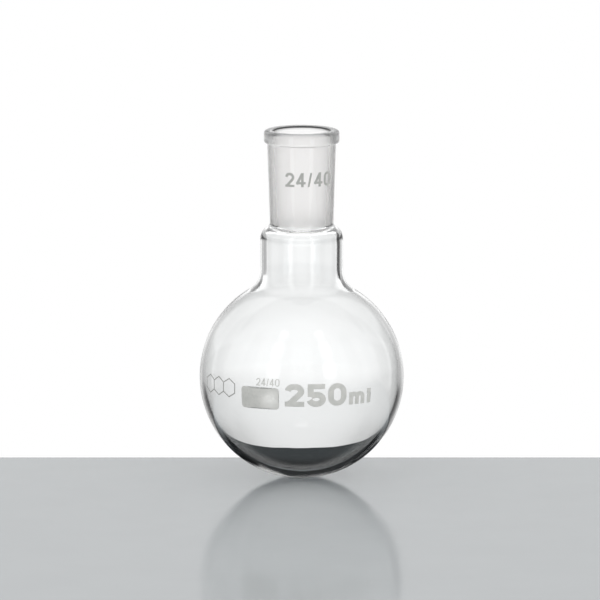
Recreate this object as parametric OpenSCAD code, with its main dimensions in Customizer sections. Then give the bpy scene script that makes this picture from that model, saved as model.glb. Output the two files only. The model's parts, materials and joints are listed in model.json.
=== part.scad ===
// Single-neck round-bottom boiling flask with a standard-taper ground joint.
// Millimetres, +Z up. The origin is the lowest point of the bulb, on the axis of the neck.

/* [Bulb] */
// Outside diameter of the bulb
bulb_d = 85; // [84:0.5:88]
// Wall at the widest part of the bulb
bulb_wall = 1.9; // [1.6:0.1:2.4]
// Wall at the lowest point, where blown glass gathers
bottom_wall = 2.5; // [2.4:0.1:3.2]
// Radius that blends the bulb into the neck, outside
blend_r = 10; // [8:0.5:12]
// The same blend inside the wall
inner_blend_r = 11.5; // [9:0.5:13]

/* [Neck] */
// Outside diameter of the neck, where a clamp grips
neck_d = 34.4; // [33:0.1:35]
// Wall of the neck
neck_wall = 2.4; // [2:0.1:2.8]
// Height above the base at which the shoulder begins to turn in
neck_top = 100.2; // [98:0.2:102]
// Radius of the shoulder, outside
shoulder_r = 6.5; // [6:0.1:7]

/* [Ground joint] */
// Diameter of the ground bore at its wide end
joint_wide_d = 24; // [22:0.5:25]
// Length of the ground zone, which narrows by 1 in 10 on diameter
joint_length = 40; // [32:1:42]
// Height above the base at which the ground zone starts
joint_bottom = 106; // [106:0.5:108]
// Outside diameter of the socket just above the shoulder
joint_root_d = 26.4; // [26:0.1:27]
// Outside diameter of the socket just below the bead
joint_top_d = 28.6; // [28:0.1:29]
// Radius of the hollow where the socket meets the shoulder
root_r = 1.5; // [1.2:0.1:2]
// Radius of the clear lip below the ground zone, inside
lip_r = 1.4; // [1:0.1:1.6]
// Height of the clear bore between that lip and the ground zone
lip_land = 0.3; // [0.1:0.1:0.5]

/* [Rim bead] */
// Outside diameter of the bead round the mouth
bead_d = 31.4; // [30:0.1:33]
// Height of the bead
bead_h = 5.4; // [4:0.1:6]
// Rounding of the bead's upper edge
bead_top_r = 1.5; // [0.8:0.1:1.8]
// Rounding of the bead's lower edge
bead_low_r = 1; // [0.4:0.1:1.4]
// Rounding of the mouth's inner edge
mouth_r = 0.8; // [0.4:0.1:1]

/* [Fired enamel] */
// Thickness of the enamel on the glass
print_t = 0.08; // [0.05:0.01:0.2]
// Height of the capacity figures
capacity_h = 9.4; // [8:0.1:10]
// Width of each capacity figure
capacity_w = 8.1; // [7:0.1:8.4]
// Stroke of the capacity figures
capacity_s = 2.5; // [1.8:0.1:2.6]
// Width of the writing patch
patch_w = 17; // [14:0.5:20]
// Height of the writing patch
patch_h = 9; // [7:0.5:10]
// Height of the size figures on the socket
joint_figure_h = 5.9; // [5:0.1:7]
// Height of the size figures on the bulb
small_figure_h = 3.1; // [2.4:0.1:3.6]
// Width across each ring of the emblem
emblem_ring_w = 6.6; // [6:0.1:7.2]

/* [Hidden] */
$fn = 96;

GLASS = [0.86, 0.90, 0.90, 0.45];
GROUND_GLASS = [0.93, 0.94, 0.94, 0.85];
ENAMEL = [0.75, 0.76, 0.74];

// Bulb: one sphere outside, one inside set a little high so that the wall thickens to the bottom
bulb_r = bulb_d / 2;
inner_r = bulb_r - bulb_wall;
inner_z = bottom_wall + inner_r;

// Neck
neck_r = neck_d / 2;
neck_inner_r = neck_r - neck_wall;
blend_z = bulb_r + sqrt(pow(bulb_r + blend_r, 2) - pow(neck_r + blend_r, 2));
inner_blend_z = inner_z
    + sqrt(pow(inner_r + inner_blend_r, 2) - pow(neck_inner_r + inner_blend_r, 2));

// Shoulder and socket
joint_top = joint_bottom + joint_length;
joint_wide_r = joint_wide_d / 2;
joint_small_r = joint_wide_r - joint_length / 20;
root_outer_r = joint_root_d / 2;
shoulder_x = neck_r - shoulder_r;
root_x = root_outer_r + root_r;
root_z = neck_top + sqrt(pow(shoulder_r + root_r, 2) - pow(root_x - shoulder_x, 2));
lip_x = joint_small_r + lip_r;
lip_z = joint_bottom - lip_land;
inner_shoulder_r = neck_inner_r - lip_x;
inner_neck_top = lip_z - lip_r - inner_shoulder_r;
bead_bottom = joint_top - bead_h;

// Fine work on the enamel
patch_corner = 1.4;
unit_h = 5.2;
unit_w = 7.5;
unit_s = 1.9;
unit_gap = 1.4;
figure_gap = 0.9;
joint_figure_w = 4.1;
joint_figure_s = 1.1;
joint_figure_gap = 0.75;
small_figure_w = 1.95;
small_figure_s = 0.45;
small_figure_gap = 0.35;
slash_share = 0.55;
emblem_line = 0.5;
emblem_rings = 3;

// Where each print starts, in degrees round the axis from the front, and its foot above the bulb's middle
patch_angle = -24.2;
patch_foot = -6.9;
capacity_angle = -9.5;
capacity_foot = -5.4;
unit_angle = 27.4;
small_figure_angle = -26.3;
small_figure_foot = 2.8;
joint_figure_angle = -29.2;
joint_figure_foot = 124;
emblem_angle = -53.9;
emblem_middle = 0.4;

// ---- Outlines -------------------------------------------------------------------------------

// A strip of the profile's half plane, from the axis out to r
module band(r, low, high) {
    translate([0, low]) square([r, high - low]);
}

// What the glass and the space inside it fill together, right of the axis
module outer_profile() {
    intersection() {
        translate([0, bulb_r]) circle(r = bulb_r);
        band(bulb_r, 0, bulb_d);
    }
    difference() {
        polygon([[0, bulb_r], [neck_r + blend_r, blend_z], [0, blend_z]]);
        translate([neck_r + blend_r, blend_z]) circle(r = blend_r);
    }
    band(neck_r, blend_z, neck_top);
    intersection() {
        translate([shoulder_x, neck_top]) circle(r = shoulder_r);
        translate([0, neck_top]) square([neck_r, shoulder_r]);
    }
    difference() {
        polygon([[0, neck_top], [shoulder_x, neck_top], [root_x, root_z], [0, root_z]]);
        translate([root_x, root_z]) circle(r = root_r);
    }
    polygon([[0, root_z], [root_outer_r, root_z], [joint_top_d / 2, bead_bottom], [0, bead_bottom]]);
    bead_profile();
}

module bead_profile() {
    bead_r = bead_d / 2;
    difference() {
        band(bead_r, bead_bottom, joint_top);
        translate([bead_r - bead_top_r, joint_top - bead_top_r]) outside_corner(bead_top_r);
        translate([bead_r - bead_low_r, bead_bottom + bead_low_r]) mirror([0, 1]) outside_corner(bead_low_r);
    }
}

// What a rounding of radius r takes off a square corner whose arc is centred on the origin
module outside_corner(r) {
    difference() {
        square(2 * r);
        circle(r = r);
    }
}

// The space inside the glass
module inner_profile() {
    translate([0, inner_z]) circle(r = inner_r);
    difference() {
        polygon([[0, inner_z], [neck_inner_r + inner_blend_r, inner_blend_z], [0, inner_blend_z]]);
        translate([neck_inner_r + inner_blend_r, inner_blend_z]) circle(r = inner_blend_r);
    }
    band(neck_inner_r, inner_blend_z, inner_neck_top);
    intersection() {
        translate([lip_x, inner_neck_top]) circle(r = inner_shoulder_r);
        translate([lip_x, inner_neck_top]) square(inner_shoulder_r);
    }
    difference() {
        band(lip_x, inner_neck_top, lip_z);
        translate([lip_x, lip_z]) circle(r = lip_r);
    }
    band(joint_small_r, lip_z, joint_bottom);
    polygon([[0, joint_bottom], [joint_small_r, joint_bottom], [joint_wide_r, joint_top], [0, joint_top]]);
    difference() {
        band(joint_wide_r + mouth_r, joint_top - mouth_r, joint_top + mouth_r);
        translate([joint_wide_r + mouth_r, joint_top - mouth_r]) circle(r = mouth_r);
    }
}

// The glass wall between two heights, turned about the axis
module turned_glass(low, high) {
    rotate_extrude()
        intersection() {
            difference() {
                outer_profile();
                inner_profile();
            }
            band(bulb_r, low, high);
        }
}

// ---- Enamel lettering -----------------------------------------------------------------------

function arc(c, rx, ry, from, to, steps = 14) =
    [for (i = [0:steps]) let (a = from + (to - from) * i / steps) c + [rx * cos(a), ry * sin(a)]];
function unit(v) = v / norm(v);
function heading(p, i) =
    let (n = len(p) - 1)
    i == 0 ? unit(p[1] - p[0])
    : i == n ? unit(p[n] - p[n - 1])
    : unit(unit(p[i + 1] - p[i]) + unit(p[i] - p[i - 1]));
// From the middle line to the edge of the stroke, lengthened where the line turns
function edge(p, i, s) =
    let (d = heading(p, i), ahead = i == 0 ? d : unit(p[i] - p[i - 1]))
    [-d.y, d.x] * s / 2 / (d * ahead);
function total(v, n) = n == 0 ? 0 : v[n - 1] + total(v, n - 1);

module stroke(p, s) {
    last = len(p) - 1;
    polygon(concat([for (i = [0:last]) p[i] + edge(p, i, s)],
                   [for (i = [last:-1:0]) p[i] - edge(p, i, s)]));
}

module rounded(w, h, r) {
    x = w / 2 - r;
    polygon(concat(arc([x, h - r], r, r, 0, 90, 8), arc([-x, h - r], r, r, 90, 180, 8),
                   arc([-x, r], r, r, 180, 270, 8), arc([x, r], r, r, 270, 360, 8)));
}

// Each figure stands on the X axis, centred on it, w wide and h high. Its upright strokes are s thick
// and its level ones a little thinner.
function level(s) = 0.85 * s;

module figure_0(w, h, s) {
    corner = 0.47 * w;
    difference() {
        rounded(w, h, corner);
        translate([0, level(s)]) rounded(w - 2 * s, h - 2 * level(s), corner - 0.95 * s);
    }
}

module figure_2(w, h, s) {
    rx = (w - s) / 2;
    ry = 0.32 * h - level(s) / 2;
    foot = [-rx + 0.06 * w, level(s) / 2];
    intersection() {
        translate([-w / 2, 0]) square([w, h]);
        stroke(concat(arc([0, h - level(s) / 2 - ry], rx, ry, 175, -40), [foot, foot - [s, 0.7 * s]]), s);
    }
    translate([-w / 2, 0]) square([w, level(s)]);
}

module figure_4(w, h, s) {
    bar = 0.2 * h;
    stem = 0.16 * w;
    intersection() {
        translate([-w / 2, 0]) square([w, h]);
        union() {
            stroke([[stem + 0.2 * s, h + 0.2 * s], [-w / 2 + 0.3 * s, bar]], s);
            translate([-w / 2, bar]) square([w, level(s)]);
            translate([stem - s / 2, 0]) square([s, h]);
        }
    }
}

module figure_5(w, h, s) {
    rx = (w - s) / 2;
    ry = 0.32 * h - level(s) / 2;
    left = -0.44 * w;
    waist = 0.44 * h;
    translate([left, h - level(s)]) square([0.9 * w, level(s)]);
    translate([left, waist]) square([s, h - waist]);
    stroke(arc([0, ry + level(s) / 2], rx, ry, 140, -172), s);
}

module figure_slash(w, h, s) {
    intersection() {
        translate([-w / 2, 0]) square([w, h]);
        stroke([[-w / 2 + s / 3, -s], [w / 2 - s / 3, h + s]], 0.75 * s);
    }
}

module letter_m(w, h, s) {
    rx = (w - s) / 4;
    ry = rx;
    translate([-w / 2, 0]) square([s, h]);
    for (x = [-rx, rx])
        stroke(concat([[x - rx, h / 2]], arc([x, h - level(s) / 2 - ry], rx, ry, 180, 0), [[x + rx, 0]]), s);
}

// Stands taller than the letter beside it, which sets h
module letter_l(w, h, s) {
    translate([-s / 2, 0]) square([s, 1.17 * h]);
}

module glyph(name, w, h, s) {
    if (name == "0") figure_0(w, h, s);
    if (name == "2") figure_2(w, h, s);
    if (name == "4") figure_4(w, h, s);
    if (name == "5") figure_5(w, h, s);
    if (name == "/") figure_slash(w, h, s);
    if (name == "m") letter_m(w, h, s);
    if (name == "l") letter_l(w, h, s);
}

// Pushes an outline out from the axis, so that it can be cut from a shell on the glass
module outward(angle, height) {
    rotate([0, 0, angle]) translate([0, 0, height]) rotate([90, 0, 0])
        linear_extrude(height = bulb_r + 1) children();
}

// A row of glyphs round the axis at radius r, each facing straight out
module row(names, widths, gap, h, s, r, angle, foot) {
    for (i = [0:len(names) - 1]) {
        along = total(widths, i) + gap * i + widths[i] / 2;
        outward(angle + along / r * 180 / PI, foot) glyph(names[i], widths[i], h, s);
    }
}

module bulb_shell() {
    difference() {
        translate([0, 0, bulb_r]) sphere(r = bulb_r + print_t);
        translate([0, 0, bulb_r]) sphere(r = bulb_r);
    }
}

module socket_shell() {
    low = root_z;
    high = bead_bottom;
    rotate_extrude()
        polygon([[root_outer_r, low], [root_outer_r + print_t, low],
                 [joint_top_d / 2 + print_t, high], [joint_top_d / 2, high]]);
}

// ---- Sub-parts ------------------------------------------------------------------------------

module flask_body() {
    color(GLASS) turned_glass(0, joint_bottom);
}

module joint_socket() {
    color(GROUND_GLASS) turned_glass(joint_bottom, joint_top);
}

module writing_patch() {
    color(ENAMEL)
        intersection() {
            bulb_shell();
            outward(patch_angle, bulb_r + patch_foot) rounded(patch_w, patch_h, patch_corner);
        }
}

module capacity_mark() {
    color(ENAMEL)
        intersection() {
            bulb_shell();
            union() {
                row(["2", "5", "0"], [capacity_w, capacity_w, capacity_w], figure_gap,
                    capacity_h, capacity_s, bulb_r, capacity_angle, bulb_r + capacity_foot);
                row(["m", "l"], [unit_w, unit_s], unit_gap,
                    unit_h, unit_s, bulb_r, unit_angle, bulb_r + capacity_foot);
            }
        }
}

// The figures of the joint's size, 24 wide by 40 long
module size_figures(w, h, s, gap, r, angle, foot) {
    row(["2", "4", "/", "4", "0"], [w, w, slash_share * w, w, w], gap, h, s, r, angle, foot);
}

module bulb_size_mark() {
    color(ENAMEL)
        intersection() {
            bulb_shell();
            size_figures(small_figure_w, small_figure_h, small_figure_s, small_figure_gap,
                         bulb_r, small_figure_angle, bulb_r + small_figure_foot);
        }
}

module joint_size_mark() {
    color(ENAMEL)
        intersection() {
            socket_shell();
            size_figures(joint_figure_w, joint_figure_h, joint_figure_s, joint_figure_gap,
                         joint_top_d / 2, joint_figure_angle, joint_figure_foot);
        }
}

// A row of plain hexagon rings that share their sides
module emblem() {
    ring_r = emblem_ring_w / sqrt(3);
    step = emblem_ring_w / bulb_r * 180 / PI;
    color(ENAMEL)
        intersection() {
            bulb_shell();
            for (i = [0:emblem_rings - 1])
                outward(emblem_angle + (i - (emblem_rings - 1) / 2) * step, bulb_r + emblem_middle)
                    rotate(30)
                    difference() {
                        circle(r = ring_r + emblem_line / 2, $fn = 6);
                        circle(r = ring_r - emblem_line / 2, $fn = 6);
                    }
        }
}

flask_body();
joint_socket();
writing_patch();
capacity_mark();
bulb_size_mark();
joint_size_mark();
emblem();
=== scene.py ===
"""A single-neck round-bottom flask of clear glass, in metres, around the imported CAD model.

The origin is the lowest point of the bulb, on the axis of the neck. +Z is up and -Y is the front.
"""
import json
import math

import bpy
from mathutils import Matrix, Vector, noise
from mathutils.geometry import delaunay_2d_cdt

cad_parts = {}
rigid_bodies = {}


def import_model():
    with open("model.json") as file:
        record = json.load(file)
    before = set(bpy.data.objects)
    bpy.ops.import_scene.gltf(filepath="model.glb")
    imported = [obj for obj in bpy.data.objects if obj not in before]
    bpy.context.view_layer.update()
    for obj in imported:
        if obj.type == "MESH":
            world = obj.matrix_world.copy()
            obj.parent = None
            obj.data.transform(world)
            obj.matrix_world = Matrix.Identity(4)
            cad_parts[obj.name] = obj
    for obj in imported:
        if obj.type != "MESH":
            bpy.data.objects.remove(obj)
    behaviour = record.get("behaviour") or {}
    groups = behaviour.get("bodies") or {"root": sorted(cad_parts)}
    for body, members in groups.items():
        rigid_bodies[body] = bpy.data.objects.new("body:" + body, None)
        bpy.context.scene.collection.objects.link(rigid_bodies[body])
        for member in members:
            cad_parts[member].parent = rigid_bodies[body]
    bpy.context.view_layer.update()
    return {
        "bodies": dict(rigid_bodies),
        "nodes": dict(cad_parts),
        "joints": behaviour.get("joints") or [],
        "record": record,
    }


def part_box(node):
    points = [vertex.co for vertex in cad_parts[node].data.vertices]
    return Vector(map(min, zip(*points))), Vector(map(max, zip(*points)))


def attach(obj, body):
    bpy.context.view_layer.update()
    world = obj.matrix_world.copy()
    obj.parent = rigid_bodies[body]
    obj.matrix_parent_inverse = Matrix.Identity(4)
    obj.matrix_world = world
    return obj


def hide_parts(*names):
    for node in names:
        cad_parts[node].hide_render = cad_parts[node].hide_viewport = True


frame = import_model()

MM = 0.001

# ---- Sizes from the frame ---------------------------------------------------------------------

body_low, body_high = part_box("flask_body")
joint_low, joint_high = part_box("joint_socket")
bulb_r = min(-body_low.x, body_high.x, -body_low.y, body_high.y)
bead_r = min(-joint_low.x, joint_high.x, -joint_low.y, joint_high.y)
seam_z = body_high.z
joint_top = joint_high.z

# ---- Walls and roundings, as in the CAD model -------------------------------------------------

bulb_wall = 1.9 * MM
bottom_wall = 2.5 * MM
blend_r = 10 * MM
inner_blend_r = 11.5 * MM
neck_r = 17.2 * MM
neck_wall = 2.4 * MM
neck_top = 100.2 * MM
shoulder_r = 6.5 * MM
joint_wide_r = 12 * MM
joint_small_r = 10 * MM
root_outer_r = 13.2 * MM
socket_top_r = 14.3 * MM
root_r = 1.5 * MM
lip_r = 1.4 * MM
lip_land = 0.3 * MM
bead_h = 5.4 * MM
bead_top_r = 1.5 * MM
bead_low_r = 1 * MM
bead_fillet_r = 0.5 * MM
mouth_r = 0.8 * MM

inner_r = bulb_r - bulb_wall
inner_z = bottom_wall + inner_r
neck_inner_r = neck_r - neck_wall
blend_x = neck_r + blend_r
blend_z = bulb_r + math.sqrt((bulb_r + blend_r) ** 2 - blend_x ** 2)
inner_blend_x = neck_inner_r + inner_blend_r
inner_blend_z = inner_z + math.sqrt((inner_r + inner_blend_r) ** 2 - inner_blend_x ** 2)
shoulder_x = neck_r - shoulder_r
root_x = root_outer_r + root_r
root_z = neck_top + math.sqrt((shoulder_r + root_r) ** 2 - (root_x - shoulder_x) ** 2)
lip_x = joint_small_r + lip_r
lip_z = seam_z - lip_land
inner_shoulder_r = neck_inner_r - lip_x
inner_neck_top = lip_z - lip_r - inner_shoulder_r
bead_bottom = joint_top - bead_h

# ---- Camera -----------------------------------------------------------------------------------

CAMERA_ELEVATION = 9.5
CAMERA_DISTANCE = 3.0
VIEW_WIDTH = 0.2494
VIEW_MIDDLE = Vector((-0.0007, 0, 0.0745))
SENSOR = 36


def make_camera():
    data = bpy.data.cameras.new("camera")
    data.sensor_width = SENSOR
    data.lens = SENSOR * CAMERA_DISTANCE / VIEW_WIDTH
    data.clip_start = 0.1
    data.clip_end = 50
    camera = bpy.data.objects.new("camera", data)
    tilt = math.radians(CAMERA_ELEVATION)
    camera.location = VIEW_MIDDLE + CAMERA_DISTANCE * Vector((0, -math.cos(tilt), math.sin(tilt)))
    camera.rotation_euler = (math.pi / 2 - tilt, 0, 0)
    bpy.context.scene.collection.objects.link(camera)
    bpy.context.scene.camera = camera


make_camera()

# ---- Meshes -----------------------------------------------------------------------------------


def make_object(name, verts, faces, materials):
    mesh = bpy.data.meshes.new(name)
    mesh.from_pydata(verts, [], faces)
    for material in materials:
        mesh.materials.append(material)
    mesh.validate()
    obj = bpy.data.objects.new(name, mesh)
    bpy.context.scene.collection.objects.link(obj)
    return obj


def finish_piece(obj, node):
    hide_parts(node)
    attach(obj, "root")


# ---- Materials --------------------------------------------------------------------------------


class Nodes:
    """Short ways to build one material's nodes."""

    def __init__(self, tree):
        self.tree = tree
        self.tree.nodes.clear()

    def add(self, kind, settings=None, **inputs):
        node = self.tree.nodes.new(kind)
        for key, value in (settings or {}).items():
            setattr(node, key, value)
        for key, value in inputs.items():
            self.feed(node, key.replace("_", " "), value)
        return node

    def feed(self, node, socket, value):
        if isinstance(value, bpy.types.NodeSocket):
            self.tree.links.new(value, node.inputs[socket])
        else:
            node.inputs[socket].default_value = value

    def position(self):
        return self.add("ShaderNodeTexCoord").outputs["Object"]

    def noise(self, scale, detail=2.0, rough=0.5):
        node = self.add("ShaderNodeTexNoise", Vector=self.position(), Scale=scale, Detail=detail,
                        Roughness=rough)
        return node.outputs["Fac"]

    def spread(self, value, low, high, to_low, to_high):
        """Maps low..high of a value to to_low..to_high, smoothly and clamped."""
        node = self.add("ShaderNodeMapRange", {"interpolation_type": "SMOOTHSTEP"})
        for socket, number in zip(range(5), (value, low, high, to_low, to_high)):
            self.feed(node, socket, number)
        return node.outputs["Result"]

    def mix(self, share, first, second):
        """The colour that lies between two others, at a share of 0 to 1."""
        node = self.add("ShaderNodeMix", {"data_type": "RGBA"})
        self.feed(node, 0, share)
        self.feed(node, 6, first)
        self.feed(node, 7, second)
        return node.outputs[2]

    def blend(self, share, first, second):
        """The number that lies between two others, at a share of 0 to 1."""
        node = self.add("ShaderNodeMix", {"data_type": "FLOAT"})
        self.feed(node, 0, share)
        self.feed(node, 2, first)
        self.feed(node, 3, second)
        return node.outputs[0]

    def math(self, operation, *values):
        node = self.add("ShaderNodeMath", {"operation": operation})
        for i, value in enumerate(values):
            self.feed(node, i, value)
        return node.outputs[0]

    def product(self, first, *others):
        for other in others:
            first = self.math("MULTIPLY", first, other)
        return first

    def shader_mix(self, share, first, second):
        node = self.add("ShaderNodeMixShader", Fac=share)
        self.feed(node, 1, first)
        self.feed(node, 2, second)
        return node.outputs["Shader"]

    def bump(self, height, depth, strength=1.0):
        node = self.add("ShaderNodeBump", Height=height, Distance=depth, Strength=strength)
        return node.outputs["Normal"]


def new_material(name):
    material = bpy.data.materials.new(name)
    material.use_nodes = True
    return material, Nodes(material.node_tree)


def finish_shader(nodes, shader):
    nodes.add("ShaderNodeOutputMaterial", Surface=shader)


GLASS_IOR = 1.473
BORE_ROUGHNESS = 0.64
MOUTH_ROUGHNESS = 0.34


def clear_glass():
    """Fire-polished borosilicate: almost no tint, with faint draw waves and a trace of handling haze."""
    material, n = new_material("clear_glass")
    tint = n.mix(n.noise(60), (0.985, 0.993, 0.992, 1), (0.992, 0.997, 0.997, 1))
    haze = n.spread(n.noise(140, 4), 0.45, 0.75, 0.0, 0.02)
    waves = n.bump(n.noise(70, 1), 0.05 * MM)
    shader = n.add("ShaderNodeBsdfPrincipled", Base_Color=tint, Roughness=haze, IOR=GLASS_IOR, Normal=waves,
                   Transmission_Weight=1.0)
    finish_shader(n, shader.outputs["BSDF"])
    return material


def ground_glass():
    """Abrasive-ground bore: fine pitting that scatters what shines through it, worn finer at the mouth."""
    material, n = new_material("ground_glass")
    tint = n.mix(n.noise(300), (0.942, 0.93, 0.92, 1), (0.961, 0.944, 0.939, 1))
    height = n.add("ShaderNodeSeparateXYZ", Vector=n.position()).outputs["Z"]
    grade = n.spread(height, joint_top - 6.5 * MM, joint_top - 4 * MM, BORE_ROUGHNESS, MOUTH_ROUGHNESS)
    rough = n.math("ADD", grade, n.spread(n.noise(900, 3), 0.3, 0.7, -0.04, 0.04))
    pits = n.bump(n.noise(4500, 2), 0.005 * MM, 0.3)
    shader = n.add("ShaderNodeBsdfPrincipled", Base_Color=tint, Roughness=rough, IOR=GLASS_IOR, Normal=pits,
                   Transmission_Weight=1.0)
    finish_shader(n, shader.outputs["BSDF"])
    return material


def fused_seam():
    """Where two pieces are one glass, so there is nothing to see."""
    material, n = new_material("fused_seam")
    finish_shader(n, n.add("ShaderNodeBsdfTransparent").outputs["BSDF"])
    return material


def enamel(name, light):
    """Screen-printed and fired: satin, a little uneven in cover, with the mesh's faint texture."""
    material, n = new_material(name)
    cover = n.spread(n.noise(350, 4, 0.6), 0.3, 0.7, 0.0, 1.0)
    thin = (light * 0.92, light * 0.94, light * 0.9, 1)
    full = (light * 1.04, light * 1.05, light * 1.01, 1)
    colour = n.mix(cover, thin, full)
    rough = n.spread(n.noise(700, 3), 0.3, 0.7, 0.26, 0.38)
    grain = n.bump(n.noise(2500, 3), 0.01 * MM, 0.6)
    shader = n.add("ShaderNodeBsdfPrincipled", Base_Color=colour, Roughness=rough, IOR=1.5, Normal=grain,
                   Specular_IOR_Level=0.25)
    finish_shader(n, shader.outputs["BSDF"])
    return material


CLEAR = clear_glass()
GROUND = ground_glass()
SEAM = fused_seam()
ENAMEL = enamel("enamel", 0.8)
JOINT_ENAMEL = enamel("joint_enamel", 0.54)
PATCH_ENAMEL = enamel("patch_enamel", 0.71)
EMBLEM_ENAMEL = enamel("emblem_enamel", 0.45)

# ---- Glass ------------------------------------------------------------------------------------

AROUND = 288
RING_GAP = 0.9 * MM
MAX_TURN = 7
SHARP_TURN = 50
OUTSIDE, INSIDE, SEAM_FACE = range(3)


def point(cx, cz, r, angle):
    return cx + r * math.cos(math.radians(angle)), cz + r * math.sin(math.radians(angle))


def arc(cx, cz, r, start, end):
    """Points on an arc of the profile, both ends included. Angles are in degrees."""
    turn = abs(end - start)
    steps = max(2, math.ceil(math.radians(turn) * r / RING_GAP), math.ceil(turn / MAX_TURN))
    return [point(cx, cz, r, start + (end - start) * i / steps) for i in range(steps + 1)]


def line(start, end):
    """Points between two ends of the profile, without the ends."""
    length = math.dist(start, end)
    steps = max(1, round(length / RING_GAP))
    return [(start[0] + (end[0] - start[0]) * i / steps, start[1] + (end[1] - start[1]) * i / steps)
            for i in range(1, steps)]


def joined(*stretches):
    """One outline from several, with straight lines of even steps where a gap is left."""
    outline = list(stretches[0])
    for stretch in stretches[1:]:
        if math.dist(outline[-1], stretch[0]) < 1e-7:
            stretch = stretch[1:]
        else:
            outline += line(outline[-1], stretch[0])
        outline += stretch
    return outline


bulb_meets = math.degrees(math.atan2(blend_z - bulb_r, blend_x))
inner_meets = math.degrees(math.atan2(inner_blend_z - inner_z, inner_blend_x))
root_meets = math.degrees(math.atan2(root_z - neck_top, root_x - shoulder_x))
root_at_seam = 180 + math.degrees(math.asin((root_z - seam_z) / root_r))


def body_outline():
    """From the lowest point up the outside to the seam, then down the inside. The seam is between."""
    outside = joined(arc(0, bulb_r, bulb_r, -90, bulb_meets),
                     arc(blend_x, blend_z, blend_r, bulb_meets + 180, 180),
                     arc(shoulder_x, neck_top, shoulder_r, 0, root_meets),
                     arc(root_x, root_z, root_r, root_meets + 180, root_at_seam))
    inside = joined([(joint_small_r, seam_z)],
                    arc(lip_x, lip_z, lip_r, 180, 270),
                    arc(lip_x, inner_neck_top, inner_shoulder_r, 90, 0),
                    arc(inner_blend_x, inner_blend_z, inner_blend_r, 180, inner_meets + 180),
                    arc(0, inner_z, inner_r, inner_meets, -90))
    return outside, inside


def socket_outline():
    """From the seam up the outside and over the bead to the mouth, then down the ground bore."""
    bead_x = bead_r - bead_top_r
    low_x = bead_r - bead_low_r
    slope = (socket_top_r - root_outer_r) / (bead_bottom - root_z)
    fillet_foot = socket_top_r - bead_fillet_r * slope
    mouth_x = joint_wide_r + mouth_r
    outside = joined(arc(root_x, root_z, root_r, root_at_seam, 180),
                     arc(fillet_foot + bead_fillet_r, bead_bottom - bead_fillet_r, bead_fillet_r, 180, 90),
                     arc(low_x, bead_bottom + bead_low_r, bead_low_r, -90, 0),
                     arc(bead_x, joint_top - bead_top_r, bead_top_r, 0, 90),
                     arc(mouth_x, joint_top - mouth_r, mouth_r, 90, 177))
    inside = [(joint_wide_r - mouth_r / 20, joint_top - mouth_r * 1.1)]
    inside += line(inside[0], (joint_small_r, seam_z))
    inside += [(joint_small_r, seam_z)]
    return outside, inside


WAVE = 0.05 * MM
WAVE_FADE = 8 * MM


def waved(r, z, angle):
    """How far the inner wall lies off its drawn radius: slow waves left from blowing."""
    fade = min(1, max(0, (seam_z - WAVE_FADE - z) / WAVE_FADE))
    at = Vector((r * math.cos(angle), r * math.sin(angle), z)) / (22 * MM)
    return WAVE * fade * noise.noise(at)


def turned(name, outside, inside, closed, inner_material):
    """Turns an outline about the axis. closed says that its two ends are poles on the axis."""
    outline = outside + inside
    verts = []
    rings = []
    for i, (r, z) in enumerate(outline):
        if r < 1e-9:
            verts.append((0, 0, z))
            rings.append([len(verts) - 1] * AROUND)
            continue
        ring = []
        for k in range(AROUND):
            angle = 2 * math.pi * k / AROUND
            wave = waved(r, z, angle) if i >= len(outside) else 0
            ring.append(len(verts))
            verts.append(((r + wave) * math.cos(angle), (r + wave) * math.sin(angle), z))
        rings.append(ring)
    faces = []
    kinds = []
    spans = list(zip(rings, rings[1:], range(len(rings))))
    if not closed:
        spans.append((rings[-1], rings[0], len(rings)))
    seams = {len(outside) - 1} if closed else {len(rings)}
    for low, high, i in spans:
        kind = SEAM_FACE if i in seams else INSIDE if i >= len(outside) else OUTSIDE
        for k in range(AROUND):
            m = (k + 1) % AROUND
            face = (low[k], low[m], high[m], high[k])
            faces.append(tuple(dict.fromkeys(face)))
            kinds.append(kind)
    obj = make_object(name, verts, faces, [CLEAR, inner_material, SEAM])
    obj.data.polygons.foreach_set("material_index", kinds)
    obj.data.polygons.foreach_set("use_smooth", [True] * len(faces))
    obj.data.set_sharp_from_angle(angle=math.radians(SHARP_TURN))
    return obj


flask_body = turned("flask_body_glass", *body_outline(), True, CLEAR)
finish_piece(flask_body, "flask_body")
joint_socket = turned("joint_socket_glass", *socket_outline(), False, GROUND)
finish_piece(joint_socket, "joint_socket")

# ---- Enamel -----------------------------------------------------------------------------------

ENAMEL_OVER = 0.06 * MM
ENAMEL_UNDER = 0.02 * MM
GRID = 0.9 * MM

patch_w = 17 * MM
patch_h = 9 * MM
patch_corner = 1.4 * MM
capacity_h = 9.4 * MM
capacity_w = 8.1 * MM
capacity_s = 2.5 * MM
figure_gap = 0.9 * MM
unit_h = 5.2 * MM
unit_w = 7.5 * MM
unit_s = 1.9 * MM
unit_gap = 1.4 * MM
joint_figure_h = 5.9 * MM
joint_figure_w = 4.1 * MM
joint_figure_s = 1.1 * MM
joint_figure_gap = 0.75 * MM
small_figure_h = 3.1 * MM
small_figure_w = 1.95 * MM
small_figure_s = 0.45 * MM
small_figure_gap = 0.35 * MM
slash_share = 0.55
emblem_ring_w = 6.6 * MM
emblem_line = 0.5 * MM
emblem_rings = 3


def ellipse(cx, cy, rx, ry, start, end, steps=14):
    angles = [math.radians(start + (end - start) * i / steps) for i in range(steps + 1)]
    return [(cx + rx * math.cos(a), cy + ry * math.sin(a)) for a in angles]


def rounded(w, h, r, foot=0):
    x = w / 2 - r
    return (ellipse(x, foot + h - r, r, r, 0, 90, 8) + ellipse(-x, foot + h - r, r, r, 90, 180, 8)
            + ellipse(-x, foot + r, r, r, 180, 270, 8) + ellipse(x, foot + r, r, r, 270, 360, 8))


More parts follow.
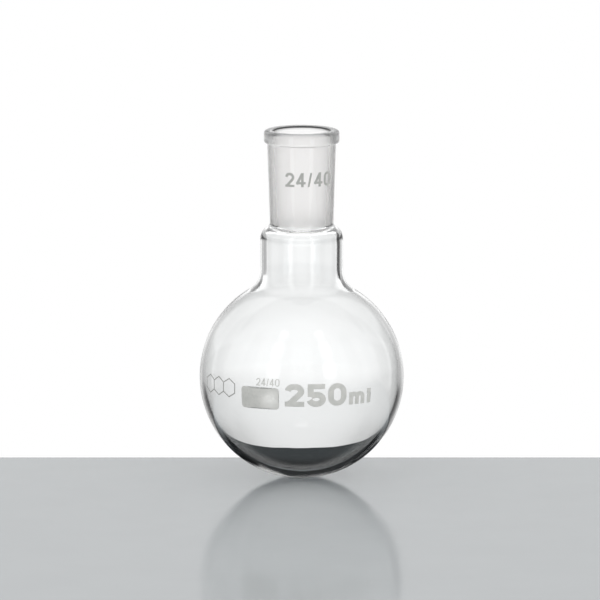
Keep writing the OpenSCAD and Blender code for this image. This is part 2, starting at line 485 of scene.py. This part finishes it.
def block(x, y, w, h):
    return [(x, y), (x + w, y), (x + w, y + h), (x, y + h)]


def stroke(path, s):
    """A line s thick with mitred corners, as one outline."""
    path = [Vector(p) for p in path]
    left = []
    right = []
    for i, here in enumerate(path):
        after = (path[i + 1] - here).normalized() if i + 1 < len(path) else None
        before = (here - path[i - 1]).normalized() if i else None
        ahead = before or after
        heading = ((before or after) + (after or before)).normalized()
        out = Vector((-heading.y, heading.x)) * s / 2 / heading.dot(ahead)
        left.append(here + out)
        right.append(here - out)
    return [tuple(p) for p in left + right[::-1]]


def within(outline, x, y):
    """True if a spot lies inside an outline."""
    inside = False
    for (ax, ay), (bx, by) in zip(outline, outline[1:] + outline[:1]):
        if (ay > y) != (by > y) and x < ax + (y - ay) * (bx - ax) / (by - ay):
            inside = not inside
    return inside


class Shape:
    """A flat figure: what is in any of its solids, in none of its holes, and within its frame."""

    def __init__(self, solids, holes=(), frame=None):
        self.solids = list(solids)
        self.holes = list(holes)
        self.frame = frame

    def moved(self, dx, dy=0):
        def shift(outline):
            return [(x + dx, y + dy) for x, y in outline]
        return Shape([shift(o) for o in self.solids], [shift(o) for o in self.holes],
                     shift(self.frame) if self.frame else None)

    def outlines(self):
        return self.solids + self.holes + ([self.frame] if self.frame else [])

    def has(self, x, y):
        solid = any(within(o, x, y) for o in self.solids)
        hole = any(within(o, x, y) for o in self.holes)
        framed = self.frame is None or within(self.frame, x, y)
        return solid and framed and not hole


def level(s):
    """A level stroke is a little thinner than an upright one."""
    return 0.85 * s


def figure_0(w, h, s):
    corner = 0.47 * w
    hole = rounded(w - 2 * s, h - 2 * level(s), corner - 0.95 * s, level(s))
    return Shape([rounded(w, h, corner)], [hole])


def figure_2(w, h, s):
    rx = (w - s) / 2
    ry = 0.32 * h - level(s) / 2
    foot = (-rx + 0.06 * w, level(s) / 2)
    bow = ellipse(0, h - level(s) / 2 - ry, rx, ry, 175, -40)
    bow += [foot, (foot[0] - s, foot[1] - 0.7 * s)]
    return Shape([stroke(bow, s), block(-w / 2, 0, w, level(s))], frame=block(-w / 2, 0, w, h))


def figure_4(w, h, s):
    bar = 0.2 * h
    stem = 0.16 * w
    return Shape([stroke([(stem + 0.2 * s, h + 0.2 * s), (-w / 2 + 0.3 * s, bar)], s),
                  block(-w / 2, bar, w, level(s)), block(stem - s / 2, 0, s, h)],
                 frame=block(-w / 2, 0, w, h))


def figure_5(w, h, s):
    rx = (w - s) / 2
    ry = 0.32 * h - level(s) / 2
    left = -0.44 * w
    waist = 0.44 * h
    return Shape([block(left, h - level(s), 0.9 * w, level(s)), block(left, waist, s, h - waist),
                  stroke(ellipse(0, ry + level(s) / 2, rx, ry, 140, -172), s)])


def figure_slash(w, h, s):
    return Shape([stroke([(-w / 2 + s / 3, -s), (w / 2 - s / 3, h + s)], 0.75 * s)],
                 frame=block(-w / 2, 0, w, h))


def letter_m(w, h, s):
    rx = (w - s) / 4
    legs = [block(-w / 2, 0, s, h)]
    for x in (-rx, rx):
        hump = ellipse(x, h - level(s) / 2 - rx, rx, rx, 180, 0)
        legs.append(stroke([(x - rx, h / 2)] + hump + [(x + rx, 0)], s))
    return Shape(legs)


def letter_l(w, h, s):
    """Stands taller than the letter beside it, which sets h."""
    return Shape([block(-s / 2, 0, s, 1.17 * h)])


GLYPHS = {"0": figure_0, "2": figure_2, "4": figure_4, "5": figure_5, "/": figure_slash,
          "m": letter_m, "l": letter_l}


def row(text, widths, gap, h, s, start, foot):
    """Glyphs side by side along the glass, the first one's left edge at start."""
    shapes = []
    along = start
    for letter, w in zip(text, widths):
        shapes.append(GLYPHS[letter](w, h, s).moved(along + w / 2, foot))
        along += w + gap
    return shapes


def filled(shape):
    """The shape as flat triangles no larger than the grid: points, and triples of their numbers."""
    outlines = shape.outlines()
    xs = [x for outline in shape.solids for x, _ in outline]
    ys = [y for outline in shape.solids for _, y in outline]
    points = []
    loops = []
    for outline in outlines:
        loops.append(list(range(len(points), len(points) + len(outline))))
        points += [Vector(p) for p in outline]
    for i in range(math.ceil((max(xs) - min(xs)) / GRID) + 1):
        for j in range(math.ceil((max(ys) - min(ys)) / GRID) + 1):
            points.append(Vector((min(xs) + (i + 0.37) * GRID, min(ys) + (j + 0.37) * GRID)))
    flat, _, triangles, _, _, _ = delaunay_2d_cdt(points, [], loops, 0, 1e-9)
    kept = []
    for a, b, c in triangles:
        middle = (flat[a] + flat[b] + flat[c]) / 3
        if shape.has(middle.x, middle.y):
            kept.append((a, b, c))
    return flat, kept


def on_bulb(x, z, lift):
    """The place on the bulb's outside at x along its middle circle and at height z, lift above it."""
    angle = x / bulb_r
    ring = math.sqrt(bulb_r ** 2 - (z - bulb_r) ** 2)
    share = 1 + lift / bulb_r
    return (share * ring * math.sin(angle), -share * ring * math.cos(angle),
            bulb_r + share * (z - bulb_r))


def on_socket(x, z, lift):
    """The same on the socket, where x is measured at the radius below the bead."""
    angle = x / socket_top_r
    share = (z - root_z) / (bead_bottom - root_z)
    r = root_outer_r + (socket_top_r - root_outer_r) * share + lift
    return r * math.sin(angle), -r * math.cos(angle), z


def printed(name, shapes, wrap, material):
    """A thin closed layer over the glass for each shape, as one object."""
    verts = []
    faces = []
    for shape in shapes:
        flat, triangles = filled(shape)
        used = sorted({i for t in triangles for i in t})
        top = {}
        under = {}
        for i in used:
            top[i] = len(verts)
            verts.append(wrap(flat[i].x, flat[i].y, ENAMEL_OVER))
            under[i] = len(verts)
            verts.append(wrap(flat[i].x, flat[i].y, -ENAMEL_UNDER))
        sides = {}
        for a, b, c in triangles:
            faces.append((top[a], top[b], top[c]))
            faces.append((under[c], under[b], under[a]))
            for p, q in ((a, b), (b, c), (c, a)):
                if (q, p) in sides:
                    del sides[(q, p)]
                else:
                    sides[(p, q)] = True
        for p, q in sides:
            faces.append((top[q], top[p], under[p], under[q]))
    return make_object(name, verts, faces, [material])


def degrees_along(angle, r):
    return math.radians(angle) * r


def capacity_shapes():
    foot = bulb_r - 5.4 * MM
    figures = row("250", [capacity_w] * 3, figure_gap, capacity_h, capacity_s,
                  degrees_along(-9.5, bulb_r), foot)
    unit = row("ml", [unit_w, unit_s], unit_gap, unit_h, unit_s, degrees_along(27.4, bulb_r), foot)
    return figures + unit


def size_shapes(w, h, s, gap, start, foot):
    return row("24/40", [w, w, slash_share * w, w, w], gap, h, s, start, foot)


def patch_shapes():
    return [Shape([rounded(patch_w, patch_h, patch_corner)]).moved(degrees_along(-24.2, bulb_r),
                                                                   bulb_r - 6.9 * MM)]


def emblem_shapes():
    """A row of plain hexagon rings that share their sides."""
    ring_r = emblem_ring_w / math.sqrt(3)
    start = degrees_along(-53.9, bulb_r)
    shapes = []
    for i in range(emblem_rings):
        x = start + (i - (emblem_rings - 1) / 2) * emblem_ring_w
        z = bulb_r + 0.4 * MM
        outer = ellipse(x, z, *[ring_r + emblem_line / 2] * 2, 30, 330, 5)
        inner = ellipse(x, z, *[ring_r - emblem_line / 2] * 2, 30, 330, 5)
        shapes.append(Shape([outer], [inner]))
    return shapes


PRINTS = {
    "writing_patch": (patch_shapes(), on_bulb, PATCH_ENAMEL),
    "capacity_mark": (capacity_shapes(), on_bulb, ENAMEL),
    "bulb_size_mark": (size_shapes(small_figure_w, small_figure_h, small_figure_s, small_figure_gap,
                                   degrees_along(-26.3, bulb_r), bulb_r + 2.8 * MM), on_bulb, ENAMEL),
    "joint_size_mark": (size_shapes(joint_figure_w, joint_figure_h, joint_figure_s, joint_figure_gap,
                                    degrees_along(-29.2, socket_top_r), 124 * MM), on_socket,
                        JOINT_ENAMEL),
    "emblem": (emblem_shapes(), on_bulb, EMBLEM_ENAMEL),
}

for node, (shapes, wrap, material) in PRINTS.items():
    finish_piece(printed(node + "_enamel", shapes, wrap, material), node)

# ---- Floor and light --------------------------------------------------------------------------

# Angles are in degrees. A turn is counted from straight behind the flask towards its right, and a
# height from the horizon. A light of 1 is the studio's white, and a gain multiplies a light.

FLOOR_BACK = 42 * MM
FLOOR_REACH = 450 * MM
FLOOR_FADE = 320 * MM
FLOOR_THICK = 6 * MM
FLOOR_GAP = 0.05 * MM
FLOOR_TONE = 0.42
FLOOR_MOTTLE = 0.005
# Painted shade: how bright the floor glows near the flask, to all rays but the camera's.
NEAR_FLOOR_LIGHT = 0.14
OPEN_REACH = 50 * MM
OPEN_END = 85 * MM

# The well is painted shade: a box that glows dimly, darkest low on its sides, shown only through the flask.
WELL_DEPTH = 25 * MM
WELL_REACH = 86 * MM
WELL_SIDE_LIGHT = 0.045
WELL_DEEP_LIGHT = 0.004
WELL_SHINE_LIGHT = 0.03
WELL_TINT = 2.2

# Limits on how often light has passed a glass surface or been mirrored.
ONE_WALL = 0.5
BOTH_WALLS = 2.5
ONCE = 0.5


def cool(light, share=1):
    """A grey with a little of the glass shelf's blue."""
    return light * (1 - 0.05 * share), light * (1 + 0.01 * share), light * (1 + 0.04 * share), 1


def straight_through(n, path):
    """1 for light that has passed both walls of the flask unmirrored, and 0 for other light."""
    passed = n.math("GREATER_THAN", path["Transmission Depth"], BOTH_WALLS)
    return n.math("MULTIPLY", passed, n.math("LESS_THAN", path["Glossy Depth"], ONCE))


def pale_floor():
    """Plain pale floor with a low polish, fading far off to the white of the studio. Where the flask
    shows it near by it is clear, like the photo's glass shelf, so that the well below it is seen."""
    material, n = new_material("pale_floor")
    apart = n.add("ShaderNodeVectorMath", {"operation": "LENGTH"})
    n.feed(apart, 0, n.position())
    apart = apart.outputs["Value"]
    far = n.spread(apart, FLOOR_FADE, FLOOR_REACH, 0.0, 1.0)
    mottle = n.spread(n.noise(30, 3), 0.3, 0.7, 0.0, 1.0)
    tone = n.mix(mottle, cool(FLOOR_TONE - FLOOR_MOTTLE), cool(FLOOR_TONE + FLOOR_MOTTLE))
    pale = n.add("ShaderNodeBsdfPrincipled", Base_Color=tone, Roughness=0.12, IOR=1.45,
                 Emission_Color=(1, 1, 1, 1), Emission_Strength=far)

    path = n.add("ShaderNodeLightPath").outputs
    diffuse = path["Is Diffuse Ray"]
    off_opening = n.spread(apart, OPEN_REACH, OPEN_END, 0.0, 1.0)
    # Painted light: to all rays but the camera's, the floor is a glow of FLOOR_TONE. Near the flask,
    # painted shade dims it to NEAR_FLOOR_LIGHT for light that has not passed straight through the flask.
    # Bounce light gets an even FLOOR_TONE glow.
    lit = n.math("MAXIMUM", straight_through(n, path), off_opening)
    level = n.blend(lit, NEAR_FLOOR_LIGHT, FLOOR_TONE)
    level = n.blend(diffuse, n.math("MAXIMUM", level, far), FLOOR_TONE)
    tint = n.mix(diffuse, cool(1), (1, 1, 1, 1))
    # The floor's painted glow, with its painted shade near the flask.
    painted_floor_glow = n.add("ShaderNodeEmission", Color=tint, Strength=level)
    opening = n.math("MULTIPLY", n.math("SUBTRACT", 1, off_opening), n.math("SUBTRACT", 1, diffuse))
    clear = n.add("ShaderNodeBsdfTransparent")
    seen = n.shader_mix(opening, painted_floor_glow.outputs["Emission"], clear.outputs["BSDF"])
    finish_shader(n, n.shader_mix(path["Is Camera Ray"], seen, pale.outputs["BSDF"]))
    return material


def well_painted_shade():
    """Painted shade: a dim glow on the sides that is darker deeper down, and a bottom that glows pale to
    light straight through the flask and dark to other light.
    """
    material, n = new_material("well_painted_shade")
    path = n.add("ShaderNodeLightPath").outputs
    height = n.add("ShaderNodeSeparateXYZ", Vector=n.position()).outputs["Z"]
    on_bottom = n.math("LESS_THAN", height, 0.2 * MM - WELL_DEPTH)
    sides = n.spread(height, -14 * MM, -5 * MM, WELL_DEEP_LIGHT, WELL_SIDE_LIGHT)
    bottom = n.blend(straight_through(n, path), WELL_SHINE_LIGHT, FLOOR_TONE)
    # The well's painted shade, as a glow.
    painted_shade_glow = n.add("ShaderNodeEmission", Color=n.mix(on_bottom, cool(1, WELL_TINT), cool(1)),
                  Strength=n.blend(on_bottom, sides, bottom))
    finish_shader(n, painted_shade_glow.outputs["Emission"])
    return material


def studio_box(name, low, high, lid, material):
    """A box between two opposite corners, closed or open at the top."""
    (x, y, z), (far_x, far_y, top) = low, high
    corners = [(x, y), (far_x, y), (far_x, far_y), (x, far_y)]
    verts = [(*corner, level) for level in (z, top) for corner in corners]
    faces = [(3, 2, 1, 0)] + [(i, (i + 1) % 4, 4 + (i + 1) % 4, 4 + i) for i in range(4)]
    if lid:
        faces.append((4, 5, 6, 7))
    return make_object(name, verts, faces, [material])


def make_floor():
    top = body_low.z - FLOOR_GAP
    floor = studio_box("floor", (-FLOOR_REACH, -FLOOR_REACH, top - FLOOR_THICK),
                       (FLOOR_REACH, FLOOR_BACK, top), True, pale_floor())


def make_well():
    """What lies below the shelf: a shallow box that hangs from it, which only the flask shows. It is
    painted shade, glowing dimly in place of the dark under a shelf.
    """
    well = studio_box("shelf_well", (-WELL_REACH, -WELL_REACH, -WELL_DEPTH),
                      (WELL_REACH, FLOOR_BACK - FLOOR_GAP, body_low.z - 2 * FLOOR_GAP), False,
                      well_painted_shade())
    well.visible_camera = False
    well.visible_diffuse = False


PANEL_TURN = 45
PANEL_LIGHT = 1.15
GAP_LIGHT = 0.5
FRONT_GAP_LIGHT = 0.6
CEILING_LIGHT = 1.5
UPPER_GAIN = 1.08
OVER_MOUTH_GAIN = 0.3
LOW_LIGHT = 0.03
UNDER_LIGHT = 0.5
FLAG_TURN = 42
FLAG_HALF_WIDTH = 9
BLACK_FLAG_GAIN = 0.03
GREY_FLAG_GAIN = 0.4

SHINE_LIGHT = 0.9
SHINE_GAP_LIGHT = 0.35
SOFTBOX_AZIMUTH = 33
SOFTBOX_HALF_WIDTH = 3
SOFTBOX_LOW = -16
SOFTBOX_HIGH = 57
SOFTBOX_LIGHT = 1.6
PANE_STEP = 24
PANE_BAR_GAIN = 0.3

BACKDROP_TOP_LIGHT = 2.2
FILL_LIGHT = 0.88
INNER_LIGHT = 0.55
INNER_TOP_LIGHT = 0.12
INNER_BACK_LIGHT = 0.75


def soft_boxes(n, side, height):
    """A tall soft box each side of the camera, in panes one above the other."""
    off_box = n.math("ABSOLUTE", n.math("SUBTRACT", side, 180 - SOFTBOX_AZIMUTH))
    across = n.spread(off_box, SOFTBOX_HALF_WIDTH, SOFTBOX_HALF_WIDTH + 7, 1.0, 0.0)
    over_foot = n.spread(height, SOFTBOX_LOW - 3, SOFTBOX_LOW, 0.0, 1.0)
    under_head = n.spread(height, SOFTBOX_HIGH, SOFTBOX_HIGH + 4, 1.0, 0.0)
    panes = n.spread(n.math("PINGPONG", height, PANE_STEP / 2), 3, 7, PANE_BAR_GAIN, 1.0)
    return n.product(across, over_foot, under_head, panes, SOFTBOX_LIGHT)


def flag(n, turn, height, place, gain, fade_from, fade_to):
    """The gain of a dark card that stands at one turn and fades out upwards."""
    off_card = n.math("ABSOLUTE", n.math("SUBTRACT", turn, place))
    card = n.spread(off_card, FLAG_HALF_WIDTH, FLAG_HALF_WIDTH + 3, gain, 1.0)
    return n.math("MAXIMUM", card, n.spread(height, fade_from, fade_to, 0.0, 1.0))


def edge_light(n, turn, side, height, off_panel):
    """White panels with grey gaps, dimmer over the mouth, cut by the flags and dark low down."""
    gap = n.spread(side, 60, 120, GAP_LIGHT, FRONT_GAP_LIGHT)
    panels = n.spread(off_panel, 10, 17, PANEL_LIGHT, gap)
    behind_mouth = n.spread(height, 8, 13, 1.0, OVER_MOUTH_GAIN)
    over_mouth = n.blend(n.spread(side, 20, 40, 0.0, 1.0), behind_mouth, 1.0)
    ring = n.product(panels, n.spread(height, -8, -2, 1.0, UPPER_GAIN), over_mouth,
                     flag(n, turn, height, FLAG_TURN, BLACK_FLAG_GAIN, 10, 20),
                     flag(n, turn, height, -FLAG_TURN, GREY_FLAG_GAIN, 0, 8))
    low = n.blend(n.spread(height, -45, -32, 1.0, 0.0), LOW_LIGHT, UNDER_LIGHT)
    ring = n.blend(n.spread(height, -17, -11.5, 0.0, 1.0), low, ring)
    return n.blend(n.spread(height, 35, 55, 0.0, 1.0), ring, CEILING_LIGHT)


def shine_light(n, side, height):
    """White with grey between the panels near the horizon."""
    between = n.math("PINGPONG", side, PANEL_TURN)
    grey = n.blend(n.spread(height, 0, 8, 0.0, 1.0), SHINE_GAP_LIGHT, SHINE_LIGHT)
    return n.spread(between, 22, 38, SHINE_LIGHT, grey)


def backdrop_light(n, height, off_panel):
    """Nearly even, a little grey behind the flask's sides, and brighter from the horizon up."""
    foot = n.spread(height, -11.4, -10.7, 0.95, 1.05)
    step = n.spread(height, -10, -8.5, 1.0, 0.9)
    sides = n.spread(off_panel, 0, 5.5, 1.0, n.spread(height, -9.7, -9.2, 0.82, 0.92))
    return n.blend(n.spread(height, -3, 12, 0.0, 1.0), n.product(foot, step, sides), BACKDROP_TOP_LIGHT)


def mirrored_light(n, side, height):
    """Grey for light that was mirrored inside the flask, darker from above, brighter from behind."""
    even = n.spread(height, 15, 30, INNER_LIGHT, INNER_TOP_LIGHT)
    off_back = n.math("ABSOLUTE", n.math("SUBTRACT", height, 10))
    behind = n.math("MULTIPLY", n.spread(off_back, 3, 7, 1.0, 0.0), n.spread(side, 10, 20, 1.0, 0.0))
    return n.blend(behind, even, INNER_BACK_LIGHT)


def make_world():
    """A studio for glass, white where the camera sees it. What shines straight through both walls of
    the flask is the backdrop. What bends through one wall, at the flask's edges, comes from panels and
    flags, and both it and the shine on the outside pick up a soft box each side of the camera."""
    world = bpy.data.worlds.new("studio")
    bpy.context.scene.world = world
    world.use_nodes = True
    n = Nodes(world.node_tree)
    coord = n.add("ShaderNodeTexCoord").outputs["Generated"]
    split = n.add("ShaderNodeSeparateXYZ", Vector=coord)
    x, y, z = split.outputs
    turn = n.math("MULTIPLY", n.math("ARCTAN2", x, y), 180 / math.pi)
    side = n.math("ABSOLUTE", turn)
    height = n.math("MULTIPLY", n.math("ARCSINE", z), 180 / math.pi)
    off_panel = n.math("PINGPONG", side, PANEL_TURN / 2)

    boxes = soft_boxes(n, side, height)
    edge = n.math("ADD", edge_light(n, turn, side, height, off_panel), boxes)
    shine = n.math("ADD", shine_light(n, side, height), boxes)
    backdrop = backdrop_light(n, height, off_panel)
    mirrored = mirrored_light(n, side, height)

    path = n.add("ShaderNodeLightPath").outputs
    depth = path["Transmission Depth"]
    inside = n.blend(n.math("GREATER_THAN", path["Glossy Depth"], ONCE), backdrop, mirrored)
    light = n.blend(n.math("GREATER_THAN", depth, ONE_WALL), shine, edge)
    light = n.blend(n.math("GREATER_THAN", depth, BOTH_WALLS), light, inside)
    light = n.blend(path["Is Diffuse Ray"], light, FILL_LIGHT)
    light = n.blend(path["Is Camera Ray"], light, 1.0)
    shader = n.add("ShaderNodeBackground", Color=(1, 1, 1, 1), Strength=light)
    n.add("ShaderNodeOutputWorld", Surface=shader.outputs["Background"])


LAMP_HEADING = Vector((-0.545, -0.782, -0.3)).normalized()
LAMP_AIM = Vector((-14, -40, 39.5)) * MM
LAMP_AWAY = 90 * MM
LAMP_SIZE = 26 * MM
LAMP_WATTS = 0.06


def make_lamp():
    """A small round lamp for the soft highlight on the writing patch, and on nothing else."""
    data = bpy.data.lights.new("patch_lamp", "AREA")
    data.shape = "DISK"
    data.size = LAMP_SIZE
    data.energy = LAMP_WATTS
    lamp = bpy.data.objects.new("patch_lamp", data)
    lamp.location = LAMP_AIM + LAMP_HEADING * LAMP_AWAY
    lamp.rotation_euler = LAMP_HEADING.to_track_quat("Z", "Y").to_euler()
    lamp.visible_camera = False
    lamp.visible_diffuse = False
    lamp.visible_transmission = False
    bpy.context.scene.collection.objects.link(lamp)
    lit = bpy.data.collections.new("lit_by_patch_lamp")
    lit.objects.link(bpy.data.objects["writing_patch_enamel"])
    lamp.light_linking.receiver_collection = lit


make_floor()
make_well()
make_world()
make_lamp()

# ---- Picture ----------------------------------------------------------------------------------

scene = bpy.context.scene
scene.view_settings.view_transform = "Standard"
scene.cycles.max_bounces = 24
scene.cycles.transmission_bounces = 24
scene.cycles.glossy_bounces = 12
scene.cycles.caustics_refractive = True
scene.cycles.caustics_reflective = False
scene.cycles.use_denoising = True
